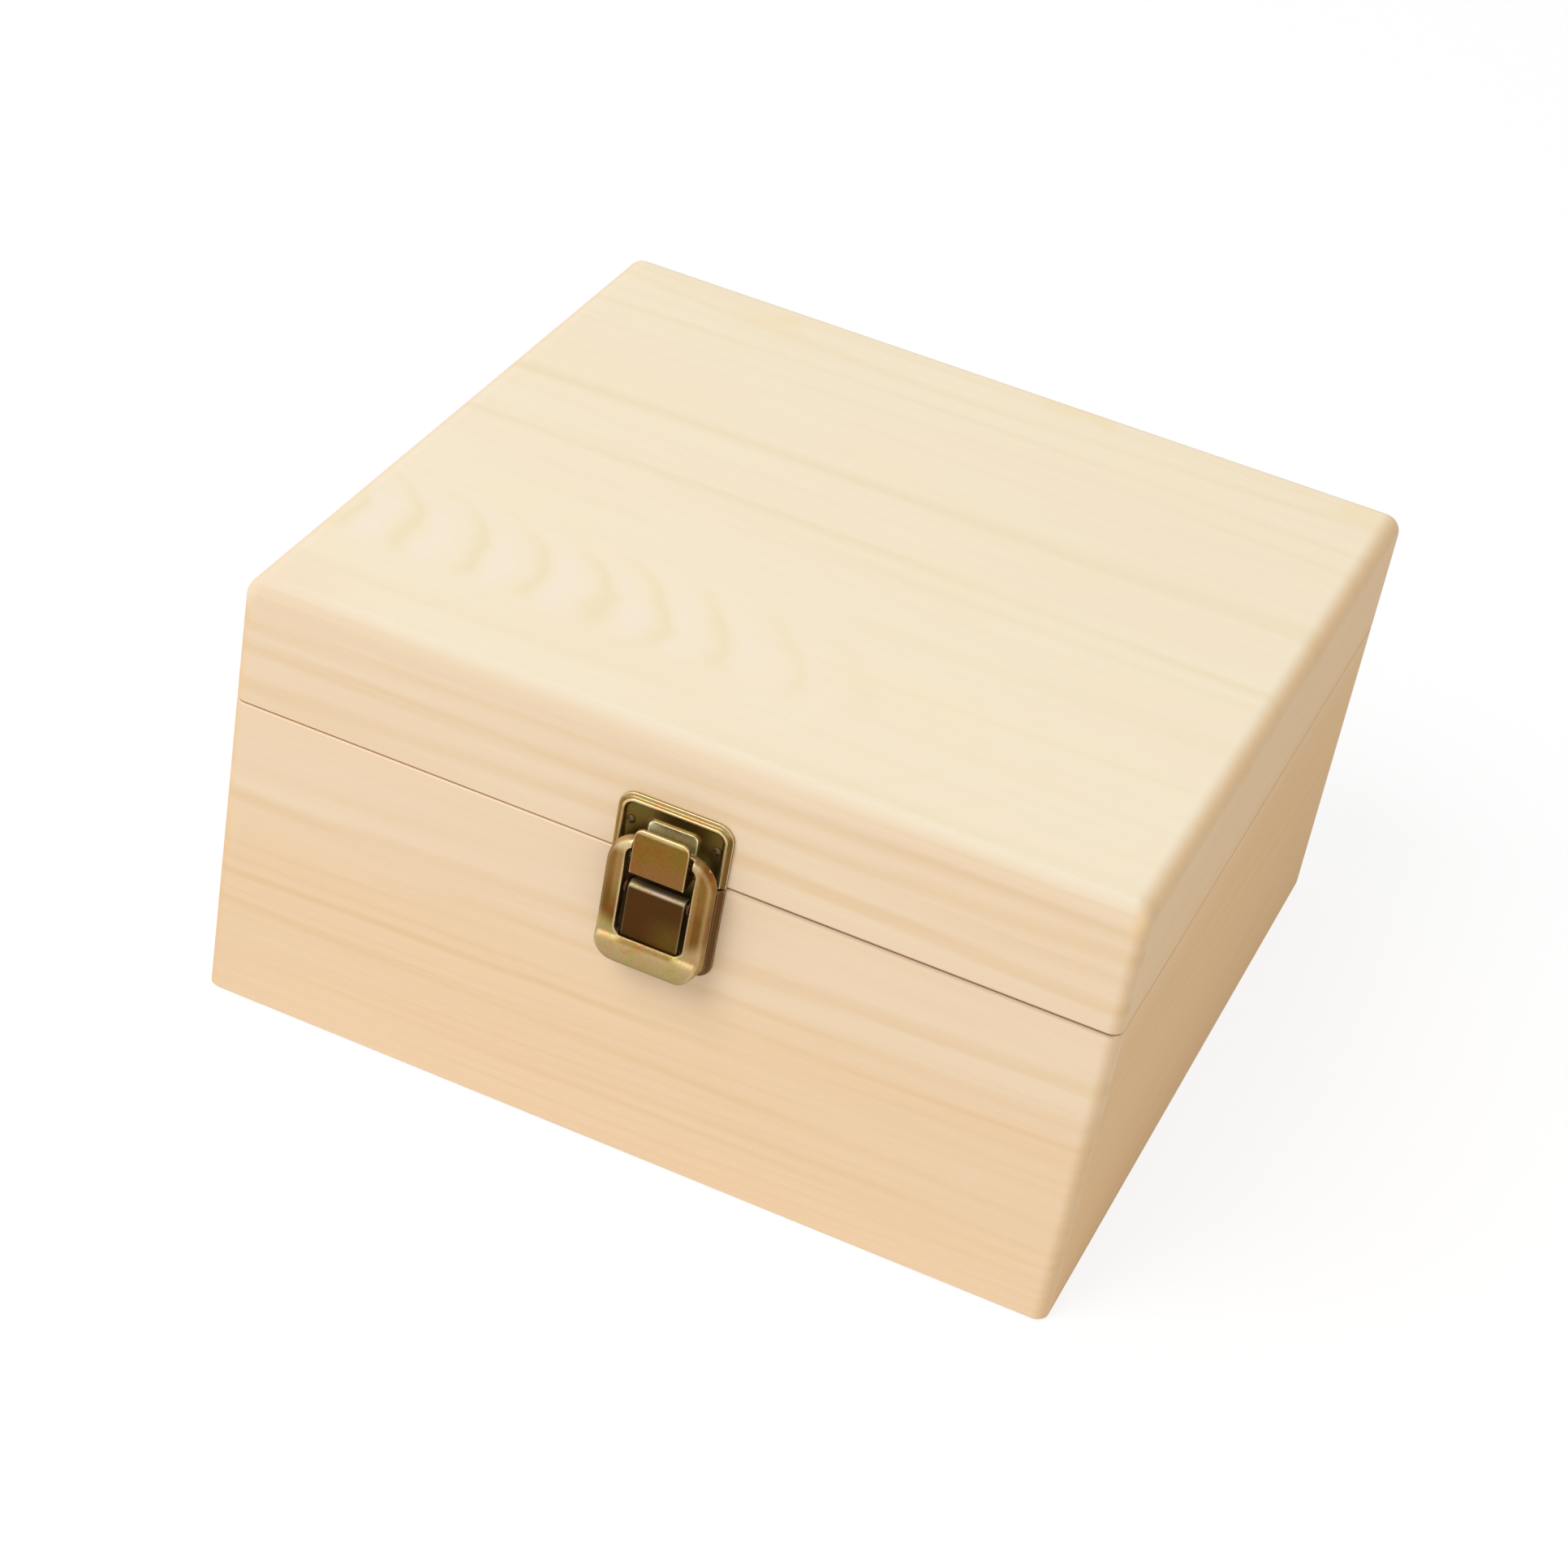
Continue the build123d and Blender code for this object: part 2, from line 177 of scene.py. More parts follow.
# Rings and bands of each face
FRONT_DEPTHS = (0.26, 0.62)
SIDE_DEPTHS = (0.30, 0.0)
TOP_DEPTHS = (0.50, 0.62)
EDGE_DEPTHS = (0.20, 0.30)


def linear(colour):
    """A colour given from 0 to 255 as the shader's linear values."""
    parts = []
    for value in colour:
        share = value / 255
        parts.append(share / 12.92 if share <= 0.04045 else ((share + 0.055) / 1.055) ** 2.4)
    return (*parts, 1.0)


class Nodes:
    """Short calls for building one material's node tree."""

    def __init__(self, name):
        self.material = bpy.data.materials.new(name)
        self.material.use_nodes = True
        self.tree = self.material.node_tree
        self.tree.nodes.clear()
        self.output = self.tree.nodes.new("ShaderNodeOutputMaterial")

    def link(self, source, target):
        self.tree.links.new(source, target)

    def put(self, value, socket):
        """Links a socket, or sets a plain value."""
        if isinstance(value, bpy.types.NodeSocket):
            self.link(value, socket)
        else:
            socket.default_value = value

    def math(self, operation, first, second=0.0, third=0.0):
        node = self.tree.nodes.new("ShaderNodeMath")
        node.operation = operation
        for value, socket in zip((first, second, third), node.inputs):
            self.put(value, socket)
        return node.outputs[0]

    def mix(self, share, first, second, blend="MIX"):
        node = self.tree.nodes.new("ShaderNodeMix")
        node.data_type = "RGBA"
        node.blend_type = blend
        self.put(share, node.inputs["Factor"])
        self.put(first, node.inputs["A"])
        self.put(second, node.inputs["B"])
        return node.outputs["Result"]

    def place(self):
        """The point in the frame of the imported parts, and its three coordinates."""
        coordinates = self.tree.nodes.new("ShaderNodeTexCoord").outputs["Object"]
        split = self.tree.nodes.new("ShaderNodeSeparateXYZ")
        self.link(coordinates, split.inputs[0])
        return coordinates, split.outputs

    def join(self, x, y, z):
        node = self.tree.nodes.new("ShaderNodeCombineXYZ")
        for value, socket in zip((x, y, z), node.inputs):
            self.put(value, socket)
        return node.outputs[0]

    def noise(self, vector, scale, detail=2.0, roughness=0.5, distortion=0.0):
        node = self.tree.nodes.new("ShaderNodeTexNoise")
        self.link(vector, node.inputs["Vector"])
        node.inputs["Scale"].default_value = scale
        node.inputs["Detail"].default_value = detail
        node.inputs["Roughness"].default_value = roughness
        node.inputs["Distortion"].default_value = distortion
        return node.outputs["Fac"]

    def ramp(self, value, *stops):
        """A smooth grey ramp through (place, grey) stops."""
        node = self.tree.nodes.new("ShaderNodeValToRGB")
        node.color_ramp.interpolation = "EASE"
        elements = node.color_ramp.elements
        while len(elements) < len(stops):
            elements.new(0.5)
        for element, (place, grey) in zip(elements, stops):
            element.position = place
            element.color = (grey, grey, grey, 1)
        self.link(value, node.inputs[0])
        return node.outputs[0]

    def bump(self, height, strength, distance):
        node = self.tree.nodes.new("ShaderNodeBump")
        node.inputs["Strength"].default_value = strength
        node.inputs["Distance"].default_value = distance
        self.link(height, node.inputs["Height"])
        return node.outputs[0]

    def step(self, value, start, end):
        """A soft step from 0 at start to 1 at end."""
        node = self.tree.nodes.new("ShaderNodeMapRange")
        node.interpolation_type = "SMOOTHSTEP"
        self.put(value, node.inputs["Value"])
        node.inputs["From Min"].default_value = start
        node.inputs["From Max"].default_value = end
        return node.outputs["Result"]

    def apart(self, first, second):
        """How far apart two values are."""
        return self.math("ABSOLUTE", self.math("SUBTRACT", first, second))

    def times(self, *values):
        """The product of several values."""
        result = values[0]
        for value in values[1:]:
            result = self.math("MULTIPLY", result, value)
        return result


def principled(nodes, base, rough, bump, metal=0.0):
    """Gives a material its surface from a colour, a roughness and a bump."""
    shader = nodes.tree.nodes.new("ShaderNodeBsdfPrincipled")
    nodes.put(base, shader.inputs["Base Color"])
    nodes.put(rough, shader.inputs["Roughness"])
    shader.inputs["Metallic"].default_value = metal
    nodes.link(bump, shader.inputs["Normal"])
    nodes.link(shader.outputs[0], nodes.output.inputs["Surface"])
    return nodes.material


def stretched(nodes, along, across, into, turns, seed):
    """A point for a noise that is drawn out along the grain."""
    lengthwise, crosswise = turns
    return nodes.join(nodes.math("MULTIPLY", along, lengthwise),
                      nodes.math("MULTIPLY_ADD", across, crosswise, seed),
                      nodes.math("MULTIPLY", into, crosswise))


# How each board was sawn. The grain of a board runs along x or y. Its growth rings are round the pith of
# the trunk, which lies off the board: height is the pith's place across the face, and depth its distance
# behind the face. Rise and lean say how the pith drifts across the face and away from it along the grain.
def growth(nodes, along, across, into, height, depth, rise, lean, ring, sway, seed):
    """Growth rings on a board: 0 in the pale early wood, 1 in the dark late wood."""
    slow = stretched(nodes, along, across, into, DRIFT_TURNS, seed)
    drift = nodes.math("MULTIPLY", nodes.math("SUBTRACT", nodes.noise(slow, 1.0, 3.0, 0.45), 0.5), sway)
    pith = nodes.math("MULTIPLY_ADD", along, rise, height)
    side = nodes.math("ADD", nodes.math("SUBTRACT", across, pith), drift)
    back = nodes.math("ADD", into, nodes.math("MULTIPLY_ADD", along, lean, depth))
    radius = nodes.math("SQRT", nodes.math("ADD", nodes.math("MULTIPLY", side, side),
                                           nodes.math("MULTIPLY", back, back)))
    count = nodes.math("DIVIDE", radius, ring)
    uneven = nodes.noise(nodes.join(count, 0.0, seed), 0.45, 2.0)
    count = nodes.math("MULTIPLY_ADD", uneven, RING_SHIFT, count)
    line = nodes.ramp(nodes.math("FRACT", count), *RING_STOPS)
    number = nodes.math("FLOOR", nodes.math("ADD", count, 0.1))
    year = nodes.noise(nodes.join(number, seed, 0.0), 2.7, 1.0)
    return line, year


def band(nodes, along, across, seed, centre, width, start, end, wave, strength, slope=0.0, bow=0.0):
    """One soft wavy band along the grain, which fades out at its ends."""
    line = nodes.math("MULTIPLY_ADD", nodes.math("MULTIPLY_ADD", along, bow, slope), along, centre)
    wander = nodes.noise(nodes.join(nodes.math("MULTIPLY", along, 17.0), seed, centre * 100.0), 1.0, 2.0)
    line = nodes.math("MULTIPLY_ADD", nodes.math("SUBTRACT", wander, 0.5), 2.0 * wave, line)
    gap = nodes.apart(across, line)
    length = nodes.math("MULTIPLY", nodes.step(along, start, start + BAND_FADE),
                        nodes.step(along, end, end - BAND_FADE))
    return nodes.times(nodes.step(gap, width, width * 0.15), length, strength)


def pine_figure(nodes, along, across, into, board, seed, bands=(), rings_seen=1.0):
    """Growth rings, bands, fibres, streaks and clouds of planed pine, each from 0 to 1."""
    line, year = growth(nodes, along, across, into, seed=seed, **board)
    patch = nodes.noise(stretched(nodes, along, across, into, PATCH_TURNS, seed), 1.0, 2.0)
    rings = nodes.times(line, nodes.ramp(year, *YEAR_STOPS), nodes.ramp(patch, *PATCH_STOPS), rings_seen)
    streaks = stretched(nodes, along, across, into, STREAK_TURNS, seed)
    streak = nodes.ramp(nodes.noise(streaks, 1.0, 2.0), *STREAK_STOPS)
    wide = 0.0
    for number, sizes in enumerate(bands):
        wide = nodes.math("MAXIMUM", wide, band(nodes, along, across, seed + number, **sizes))
    if bands:
        wide = nodes.math("MULTIPLY", wide, nodes.math("MULTIPLY_ADD", streak, 0.5, 0.6))
    fibres = stretched(nodes, along, across, into, FIBRE_TURNS, seed)
    fibre = nodes.ramp(nodes.noise(fibres, 1.0, 3.0, 0.6), *FIBRE_STOPS)
    cloud = nodes.noise(stretched(nodes, along, across, into, CLOUD_TURNS, seed + 5.0), 1.0, 2.0)
    return dict(rings=rings, bands=wide, fibre=fibre, streak=streak, patch=patch, cloud=cloud)


def tinted(tint, shares):
    """A colour given from 0 to 255 with each of its linear values changed by a share."""
    return tuple(min(value * share, 1.0) for value, share in zip(linear(tint)[:3], shares)) + (1.0,)


def pine_colour(nodes, tint, figure, late, pink, depths):
    """The colour of planed pine from its figure. The depths are those of its rings and its bands."""
    ring_depth, band_depth = depths
    pinker = nodes.math("MULTIPLY", nodes.step(figure["patch"], *PINK_RANGE), PINK_SHARE)
    colour = nodes.mix(pinker, linear(tint), tinted(tint, pink))
    paler = nodes.math("MULTIPLY", nodes.step(figure["cloud"], *CLOUD_RANGE), CLOUD_SHARE)
    colour = nodes.mix(paler, colour, tinted(tint, PALE_CLOUD))
    for part, depth in (("bands", band_depth), ("rings", ring_depth),
                        ("streak", STREAK_SHARE), ("fibre", FIBRE_SHARE)):
        colour = nodes.mix(nodes.math("MULTIPLY", figure[part], depth), colour, tinted(tint, late))
    return colour


def pine_relief(nodes, figure):
    """Bump of the planed face: late wood stands up a little, and fibres leave fine grooves."""
    height = nodes.math("MULTIPLY_ADD", figure["rings"], 0.6, nodes.math("MULTIPLY", figure["fibre"], 0.35))
    return nodes.bump(height, *PINE_BUMP)


# How the boards were sawn, and the bands that show on their faces. Lengths in metres.
FRONT_BOARD = dict(height=0.076, depth=0.050, rise=0.030, lean=0.010, ring=0.0025, sway=0.008)
TOP_BOARD = dict(height=-0.066, depth=0.115, rise=0.01, lean=0.180, ring=0.0025, sway=0.005)
SIDE_BOARD = dict(height=0.030, depth=0.060, rise=-0.02, lean=0.020, ring=0.0022, sway=0.006)
BACK_BOARD = dict(height=0.050, depth=0.070, rise=-0.03, lean=0.030, ring=0.0022, sway=0.008)
BAND_FADE = 0.03
# Painted shade on the top's rounded front edge, which the lamp lights most
CROWN_PAINTED_SHADE = (0.90, 0.92, 0.94, 1.0)
END_SHADE = (0.97, 0.90, 0.78, 1.0)
FRONT_BANDS = (
    dict(centre=0.0965, width=0.0028, start=-0.14, end=0.14, slope=0.0225, wave=0.0010, strength=0.90),
    dict(centre=0.0880, width=0.0030, start=-0.14, end=0.14, slope=0.004, bow=-0.23,
         wave=0.0012, strength=0.90),
    dict(centre=0.1034, width=0.0026, start=-0.14, end=0.14, slope=0.021, bow=-0.10,
         wave=0.0010, strength=0.60),
    dict(centre=0.0603, width=0.0030, start=-0.14, end=0.14, slope=0.047, wave=0.0014, strength=0.80),
    dict(centre=0.0515, width=0.0018, start=-0.06, end=0.14, slope=0.031, wave=0.0010, strength=0.50),
    dict(centre=0.0455, width=0.0016, start=0.00, end=0.14, slope=0.025, wave=0.0008, strength=0.50),
    dict(centre=0.0413, width=0.0014, start=-0.14, end=0.14, slope=0.018, wave=0.0008, strength=0.30),
    dict(centre=0.0374, width=0.0016, start=-0.14, end=0.02, slope=0.018, bow=-0.12,
         wave=0.0008, strength=1.00),
    dict(centre=0.0378, width=0.0016, start=-0.01, end=0.14, slope=0.008, wave=0.0008, strength=0.35),
    dict(centre=0.0272, width=0.0018, start=-0.14, end=0.14, bow=-0.14, wave=0.0010, strength=0.45),
    dict(centre=0.0172, width=0.0016, start=-0.03, end=0.14, slope=0.018, wave=0.0008, strength=0.55),
    dict(centre=0.0136, width=0.0014, start=-0.14, end=0.14, slope=0.016, wave=0.0008, strength=0.40),
)
TOP_BANDS = (
    dict(centre=0.0940, width=0.0050, start=-0.14, end=0.14, wave=0.0030, strength=0.35),
    dict(centre=0.0818, width=0.0030, start=-0.14, end=0.14, bow=0.60, wave=0.0014, strength=0.70),
    dict(centre=0.0728, width=0.0026, start=-0.14, end=0.14, bow=-0.20, wave=0.0012, strength=0.60),
    dict(centre=0.0633, width=0.0024, start=-0.14, end=0.14, slope=0.012, bow=-0.40,
         wave=0.0012, strength=0.35),
    dict(centre=0.0633, width=0.0024, start=0.04, end=0.14, slope=0.012, bow=-0.40,
         wave=0.0010, strength=0.70),
    dict(centre=0.0265, width=0.0048, start=-0.14, end=0.14, wave=0.0016, strength=1.00),
    dict(centre=0.0296, width=0.0026, start=-0.01, end=0.14, wave=0.0014, strength=0.60),
    dict(centre=-0.0010, width=0.0034, start=-0.14, end=0.14, slope=-0.022, bow=-0.20,
         wave=0.0016, strength=0.80),
    dict(centre=-0.0088, width=0.0030, start=-0.02, end=0.14, slope=-0.030, wave=0.0014, strength=0.55),
    dict(centre=-0.0335, width=0.0048, start=0.00, end=0.13, slope=0.022, wave=0.0016, strength=0.40),
    dict(centre=-0.0535, width=0.0022, start=0.02, end=0.12, slope=0.025, wave=0.0014, strength=0.35),
    dict(centre=-0.0830, width=0.0030, start=-0.14, end=0.01, slope=0.012, wave=0.0012, strength=0.50),
    dict(centre=-0.0810, width=0.0024, start=0.01, end=0.09, wave=0.0012, strength=0.30),
    dict(centre=-0.0935, width=0.0036, start=-0.02, end=0.14, wave=0.0014, strength=0.45),
)
FRONT_LATE = (0.90, 0.80, 0.62)
TOP_LATE = (0.92, 0.876, 0.77)
FRONT_PINK = (1.0, 0.965, 0.945)
TOP_PINK = (1.0, 0.972, 0.975)
PALE_CLOUD = (1.01, 1.0, 0.94)
SPOT_TONE = (0.985, 0.93, 0.78)
CORNER_TONE = (1.0, 0.93, 0.90)

# Flame figure on the top, where growth rings run out in the face: arcs that open to the left, in a row
FLAME_AXIS = -0.0655
FLAME_ROUND = 0.019
FLAME_STEP = 0.0157
FLAME_START = -0.0987
FLAME_LINE = (0.945, 0.94, 0.83)
FLAME_PALE = (1.0, 1.0, 1.10)
FLAME_DRIFT = 0.014
FLAME_RIGHT = (0.046, -0.030)
FLAME_BACK = (0.032, 0.010)
FLAME_FRONT = (-0.009, -0.001)
FLAME_PALE_SHARE = 0.60
FLAME_LINE_SHARE = 0.80

# Yellow spots along the back of the top, and its pinker front left corner
SPOT_RANGE = (0.52, 0.68)
SPOT_BACK = (0.078, 0.092)
SPOT_SHARE = 0.7
CORNER_LEFT = (-0.070, -0.098)
CORNER_FRONT = (-0.078, -0.094)
CORNER_SHARE = 0.8

# Each warmer part of a board is below a height, with soft limits, and changes the colour by a share
FRONT_WARM = (0.060, 0.046, (0.985, 0.935, 0.875))
SIDE_WARM = (0.088, 0.066, (0.96, 0.885, 0.74))

# Painted shade in the seam between lid and box: distance from it, distance behind the face, and from which x
# it starts
SEAM_REACH = (0.0009, 0.0002)
SEAM_DEPTH = (0.0010, 0.0004)
SEAM_START = (0.0, 0.03)

# Where a long board shows its ends, measured inwards from the side faces
BOARD_END = (0.0034, 0.0008)

# Where the top's rounded edges take on the colours of the boards, measured inwards from the faces
FRONT_EDGE = (0.0036, 0.0003)
# The right edge takes the side's pine with its painted warm shade
RIGHT_EDGE = (0.0050, 0.0010)
OTHER_EDGES = (0.0044, 0.0006)
# Where painted shade darkens the rounded front edge, measured inwards from the front face
CROWN_INNER = (0.0060, 0.0020)
CROWN_OUTER = (-0.0004, 0.0010)


def warmer(nodes, colour, high, part):
    """The colour made warmer and darker below a height on the board."""
    start, end, tone = part
    return nodes.mix(nodes.step(high, start, end), colour, (*tone, 1.0), "MULTIPLY")


def from_face(nodes, value, face, limits, inwards):
    """A soft step from 0 at the first limit to 1 at the second, both measured inwards from a face."""
    start, end = limits
    return nodes.step(value, face + inwards * start, face + inwards * end)


def long_pine(name, tint, board, face, seed, bands=(), seam_shade=0.0):
    """Pine whose grain runs along x, on an upright board."""
    nodes = Nodes(name)
    _, (x, y, z) = nodes.place()
    depth = nodes.apart(y, face)
    figure = pine_figure(nodes, x, z, depth, board, seed, bands)
    colour = pine_colour(nodes, tint, figure, FRONT_LATE, FRONT_PINK, FRONT_DEPTHS)
    colour = warmer(nodes, colour, z, FRONT_WARM)
    # Painted shade along the seam, on the right part of the front
    if seam_shade:
        seam_shaded = nodes.times(nodes.step(nodes.apart(z, seam), *SEAM_REACH), nodes.step(x, *SEAM_START),
                             nodes.step(depth, *SEAM_DEPTH), seam_shade)
        colour = nodes.mix(seam_shaded, colour, linear(SEAM_PAINTED_SHADE))
    end = from_face(nodes, nodes.math("ABSOLUTE", x), right_face, BOARD_END, -1)
    colour = nodes.mix(end, colour, END_SHADE, "MULTIPLY")
    return principled(nodes, colour, PINE_ROUGH, pine_relief(nodes, figure))


def side_pine(name, tint, board, face, seed, warm):
    """Pine whose grain runs along y, on an upright board."""
    nodes = Nodes(name)
    _, (x, y, z) = nodes.place()
    figure = pine_figure(nodes, y, z, nodes.apart(x, face), board, seed)
    colour = pine_colour(nodes, tint, figure, FRONT_LATE, FRONT_PINK, SIDE_DEPTHS)
    colour = warmer(nodes, colour, z, warm)
    return principled(nodes, colour, PINE_ROUGH, pine_relief(nodes, figure))


def spread(nodes, x, y, turns, seed):
    """A point for a noise in the plane of the top."""
    return nodes.join(nodes.math("MULTIPLY", x, turns[0]), nodes.math("MULTIPLY", y, turns[1]), seed)


def flame(nodes, colour, x, y):
    """The top's colour with the flame figure: yellow arcs and pale wood between them."""
    up = nodes.math("SUBTRACT", y, FLAME_AXIS)
    drift = nodes.noise(spread(nodes, x, y, FLAME_TURNS, 4.0), 1.0, 2.5)
    reach = nodes.math("MULTIPLY_ADD", nodes.math("MULTIPLY", up, up), 0.5 / FLAME_ROUND, x)
    reach = nodes.math("MULTIPLY_ADD", nodes.math("SUBTRACT", drift, 0.5), FLAME_DRIFT, reach)
    steps = nodes.math("DIVIDE", nodes.math("SUBTRACT", reach, FLAME_START), FLAME_STEP)
    phase = nodes.math("FRACT", steps)
    line = nodes.ramp(phase, *FLAME_STOPS)
    pale = nodes.ramp(phase, *FLAME_PALE_STOPS)
    seen = nodes.times(nodes.step(x, *FLAME_RIGHT), nodes.step(up, *FLAME_BACK),
                       nodes.step(up, *FLAME_FRONT))
    colour = nodes.mix(nodes.times(pale, seen, FLAME_PALE_SHARE), colour, tinted(TOP_PINE_PAINTED_LIT, FLAME_PALE))
    return nodes.mix(nodes.times(line, seen, FLAME_LINE_SHARE), colour, tinted(TOP_PINE_PAINTED_LIT, FLAME_LINE))


def top_pine(name, seed, front_seed):
    """Pine of the lid's top, painted paler for the strong light on it: the grain runs along x, and the
    rounded edges take on the boards' colours.
    """
    nodes = Nodes(name)
    _, (x, y, z) = nodes.place()
    top = pine_figure(nodes, x, y, nodes.apart(z, top_face), TOP_BOARD, seed, TOP_BANDS, 0.20)
    # The top's pine is painted paler for the strong light on it
    face = pine_colour(nodes, TOP_PINE_PAINTED_LIT, top, TOP_LATE, TOP_PINK, TOP_DEPTHS)
    face = flame(nodes, face, x, y)
    spots = nodes.noise(spread(nodes, x, y, SPOT_TURNS, seed), 1.0, 2.0)
    spots = nodes.times(nodes.step(spots, *SPOT_RANGE), nodes.step(y, *SPOT_BACK), SPOT_SHARE)
    face = nodes.mix(spots, face, tinted(TOP_PINE_PAINTED_LIT, SPOT_TONE))
    corner = nodes.times(nodes.step(x, *CORNER_LEFT), nodes.step(y, *CORNER_FRONT), CORNER_SHARE)
    face = nodes.mix(corner, face, tinted(TOP_PINE_PAINTED_LIT, CORNER_TONE))
    edge = pine_figure(nodes, x, z, nodes.apart(y, front_face), FRONT_BOARD, front_seed, FRONT_BANDS)
    colour = nodes.mix(from_face(nodes, y, front_face, FRONT_EDGE, 1), face,
                       pine_colour(nodes, FRONT_PINE, edge, FRONT_LATE, FRONT_PINK, FRONT_DEPTHS))
    # Painted shade darkens the rounded front edge where the lamp lights it most
    crown_painted_shade = nodes.times(from_face(nodes, y, front_face, CROWN_INNER, 1),
                        from_face(nodes, y, front_face, CROWN_OUTER, 1))
    colour = nodes.mix(crown_painted_shade, colour, CROWN_PAINTED_SHADE, "MULTIPLY")
    # The right rounded edge takes the side's pine, painted warm for the shade on that side
    colour = nodes.mix(from_face(nodes, x, right_face, RIGHT_EDGE, -1), colour,
                       pine_colour(nodes, SIDE_PINE_PAINTED_SHADE, top, FRONT_LATE, FRONT_PINK, EDGE_DEPTHS))
    others = nodes.math("MAXIMUM", from_face(nodes, x, left_face, OTHER_EDGES, 1),
                        from_face(nodes, y, back_face, OTHER_EDGES, -1))
    colour = nodes.mix(others, colour,
                       pine_colour(nodes, FRONT_PINE, top, FRONT_LATE, FRONT_PINK, EDGE_DEPTHS))
    return principled(nodes, colour, TOP_ROUGH, pine_relief(nodes, top))


def inside(nodes, local, share, limits):
    """The share inside all the ranges of a zone, and 0 outside them."""
    for axis, (start, end) in limits:
        share = nodes.math("MULTIPLY", nodes.step(local[axis], start, end), share)
    return share


def brass(name, base, rough, zones=(), dull=(), wear=0.85, patina=0.8, mottle=0.55, metal=1.0,
          edges=(0.512, 0.560)):
    """Antique brass: olive and red clouds in the patina, dark hollows, and edges rubbed bright.

    A zone is a colour, a share, and ranges with soft limits. The ranges are in millimetres: x from the
    latch's middle, z from the seam, out from the wood, or curve, which is z along the middle and bends up
    towards both sides, round the bottom of the ring's window. Edges in the ranges of dull aren't rubbed.
    """
    nodes = Nodes(name)
    point, (x, y, z) = nodes.place()
    local = dict(x=nodes.math("MULTIPLY", nodes.math("SUBTRACT", x, latch_middle), MM_PER_METRE),
                 z=nodes.math("MULTIPLY", nodes.math("SUBTRACT", z, seam), MM_PER_METRE),
                 out=nodes.math("MULTIPLY", nodes.math("SUBTRACT", front_face, y), MM_PER_METRE))
    aside = nodes.math("MULTIPLY", local["x"], local["x"])
    local["curve"] = nodes.math("MULTIPLY_ADD", aside, -CURVE_BEND, local["z"])
    pointiness = nodes.tree.nodes.new("ShaderNodeNewGeometry").outputs["Pointiness"]
    edge = nodes.step(pointiness, *edges)
    hollow = nodes.step(pointiness, *HOLLOW_RANGE)
    cloud = nodes.noise(point, OLIVE_TURNS, 4.0, 0.6, 0.5)
    second = nodes.noise(point, RED_TURNS, 3.0, 0.6, 0.8)
    grit = nodes.noise(point, GRIT_TURNS, 3.0, 0.65)
    colour = linear(base)
    # Zones give the latch's own colours, and also painted highlights and painted shade where the lamp lights
    # or misses it
    for tone, share, limits in zones:
        colour = nodes.mix(inside(nodes, local, share, limits), colour, linear(tone))
    olive = nodes.times(nodes.step(cloud, *OLIVE_RANGE), mottle)
    colour = nodes.mix(olive, colour, (*OLIVE_PATCH, 1.0), "MULTIPLY")
    red = nodes.times(nodes.step(second, *RED_RANGE), mottle)
    colour = nodes.mix(red, colour, (*RED_PATCH, 1.0), "MULTIPLY")
    specks = nodes.math("MULTIPLY", nodes.step(grit, *GRIT_RANGE), GRIT_SHADE)
    colour = nodes.mix(specks, colour, linear(BRASS_PATINA_AND_SHADE))
    colour = nodes.mix(nodes.math("MULTIPLY", hollow, patina), colour, linear(BRASS_PATINA_AND_SHADE))
    rubbed = nodes.times(edge, nodes.math("MULTIPLY_ADD", cloud, 0.8, 0.5), wear)
    if dull:
        rubbed = nodes.times(rubbed, nodes.math("SUBTRACT", 1.0, inside(nodes, local, 1.0, dull)))
    colour = nodes.mix(nodes.math("MINIMUM", rubbed, 1.0), colour, linear(BRASS_WEAR_AND_HIGHLIGHT))
    roughness = nodes.math("MULTIPLY_ADD", grit, GRIT_ROUGH, rough)
    return principled(nodes, colour, roughness, nodes.bump(grit, *GRIT_BUMP), metal)


def add_piece(name, mesh, material):
    """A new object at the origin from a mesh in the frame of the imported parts."""
    mesh.name = name
    mesh.materials.clear()
    mesh.materials.append(material)
    piece = bpy.data.objects.new(name, mesh)
    bpy.context.scene.collection.objects.link(piece)
    return piece


def stand_for(piece, node, body):
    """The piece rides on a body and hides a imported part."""
    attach(piece, body)
    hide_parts(node)


def cast(node, name, body, material, grain, rounds):
    """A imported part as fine-grained metal, with its edges worn round, which stands for that part."""
    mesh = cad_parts[node].data.copy()
    work = bmesh.new()
    work.from_mesh(mesh)
    bmesh.ops.remove_doubles(work, verts=work.verts, dist=WELD)
    work.to_mesh(mesh)
    work.free()
    rough_cut = add_piece(name + "_blank", mesh, material)
    remesh = rough_cut.modifiers.new("grain", "REMESH")
    remesh.mode = "VOXEL"
    remesh.voxel_size = grain
    remesh.use_smooth_shade = True
    worn = rough_cut.modifiers.new("wear", "SMOOTH")
    worn.factor = 0.5
    worn.iterations = rounds
    bpy.context.view_layer.update()
    seen = rough_cut.evaluated_get(bpy.context.evaluated_depsgraph_get())
    final = bpy.data.meshes.new_from_object(seen)
    bpy.data.objects.remove(rough_cut)
    piece = add_piece(name, final, material)
    for polygon in final.polygons:
        polygon.use_smooth = True
    stand_for(piece, node, body)
    return piece


